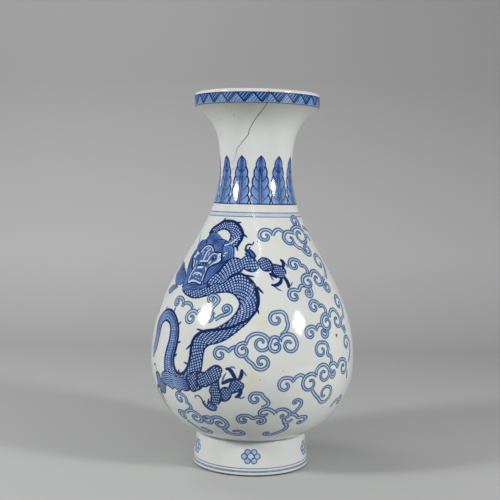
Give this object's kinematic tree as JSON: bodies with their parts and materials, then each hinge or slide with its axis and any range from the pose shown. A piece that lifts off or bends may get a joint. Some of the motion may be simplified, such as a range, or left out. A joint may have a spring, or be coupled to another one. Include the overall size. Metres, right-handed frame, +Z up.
{
  "type": "porcelain vase",
  "caption": "Pear-shaped white porcelain vase with a slim flaring neck, upright mouth band and high foot ring, thrown in luted sections and painted in underglaze blue.",
  "frame": {"origin": "centre of the foot ring's resting face, on the table", "axes": "+Z up along the vase's axis; the painted dragon faces -Y"},
  "size_m": [0.165, 0.165, 0.3],
  "materials": {
    "porcelain": "white porcelain under a clear, faintly grey-blue gloss glaze",
    "slip": "fired porcelain slip under the same gloss glaze",
    "cobalt": "cobalt blue brushwork under a clear gloss glaze",
    "stain": "brown dirt in a hairline crack and iron specks"
  },
  "bodies": {
    "root": {"foot_ring": "porcelain", "foot_slip_seam": "slip", "lower_body": "porcelain", "belly_slip_seam": "slip", "upper_body": "porcelain", "shoulder_slip_seam": "slip", "neck": "porcelain", "mouth_slip_seam": "slip", "mouth_rim": "porcelain"}
  },
  "joints": []
}
